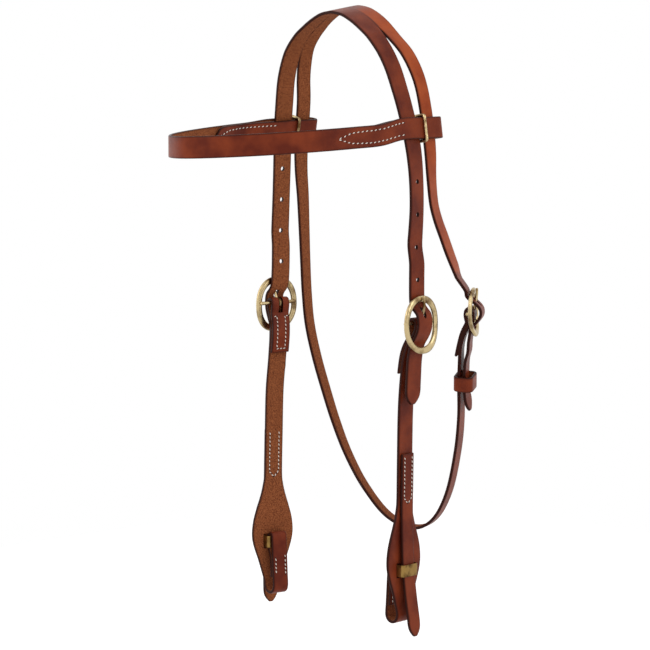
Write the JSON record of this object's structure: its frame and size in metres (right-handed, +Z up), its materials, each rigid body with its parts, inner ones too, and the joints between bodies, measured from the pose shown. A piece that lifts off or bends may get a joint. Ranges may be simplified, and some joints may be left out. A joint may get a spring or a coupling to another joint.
{
  "type": "western headstall",
  "caption": "Western headstall for a horse's head: one-piece split crown with throat strap, browband, buckled cheekpieces and folded quick-change bit ends.",
  "frame": {"origin": "middle of the crownpiece's underside, where it lies on the poll", "axes": "+Z up, -Y forward to the browband, +X to the horse's near (left) side"},
  "size_m": [0.1958, 0.2624, 0.5185],
  "materials": {
    "leather": "smooth red-brown strap leather with burnished edges",
    "brass": "satin, lightly aged"
  },
  "bodies": {
    "crown": {"crownpiece": "leather", "near_cheek_buckle": "brass", "far_cheek_buckle": "brass", "throat_buckle": "brass"},
    "brow": {"browband": "leather", "near_browband_loop": "brass", "far_browband_loop": "brass"},
    "near_cheek": {"near_cheekpiece": "leather", "near_bit_clip": "brass", "near_locking_tab": "leather"},
    "far_cheek": {"far_cheekpiece": "leather", "far_bit_clip": "brass", "far_locking_tab": "leather"},
    "near_tongue": {"near_cheek_tongue": "brass"},
    "far_tongue": {"far_cheek_tongue": "brass"},
    "throat_tongue_body": {"throat_tongue": "brass"},
    "keeper": {"throat_keeper": "leather"}
  },
  "joints": [
    {"name": "browband_slide", "type": "slide", "parent": "crown", "child": "brow", "axis": [0, 0, 1], "range_m": [-0.002, 0.002]},
    {"name": "near_cheek_swing", "type": "hinge", "parent": "crown", "child": "near_cheek", "pos_m": [0.0875, 0, -0.2533], "axis": [-0.1219, 0.9925, 0], "range_deg": [0, 15]},
    {"name": "far_cheek_swing", "type": "hinge", "parent": "crown", "child": "far_cheek", "pos_m": [-0.0875, 0, -0.2505], "axis": [-0.1045, -0.9945, 0], "range_deg": [0, 15]},
    {"name": "near_tongue_lift", "type": "hinge", "parent": "crown", "child": "near_tongue", "pos_m": [0.0875, 0, -0.2533], "axis": [-0.1219, 0.9925, 0], "range_deg": [0, 6]},
    {"name": "far_tongue_lift", "type": "hinge", "parent": "crown", "child": "far_tongue", "pos_m": [-0.0875, 0, -0.2505], "axis": [-0.1045, -0.9945, 0], "range_deg": [0, 6]},
    {"name": "throat_tongue_lift", "type": "hinge", "parent": "crown", "child": "throat_tongue_body", "pos_m": [0.0866, 0.06, -0.249], "axis": [-0.5728, 0.818, 0.0523], "range_deg": [0, 4]},
    {"name": "keeper_slide", "type": "slide", "parent": "crown", "child": "keeper", "axis": [0.1589, -0.1476, 0.9762], "range_m": [-0.005, 0.005]}
  ]
}
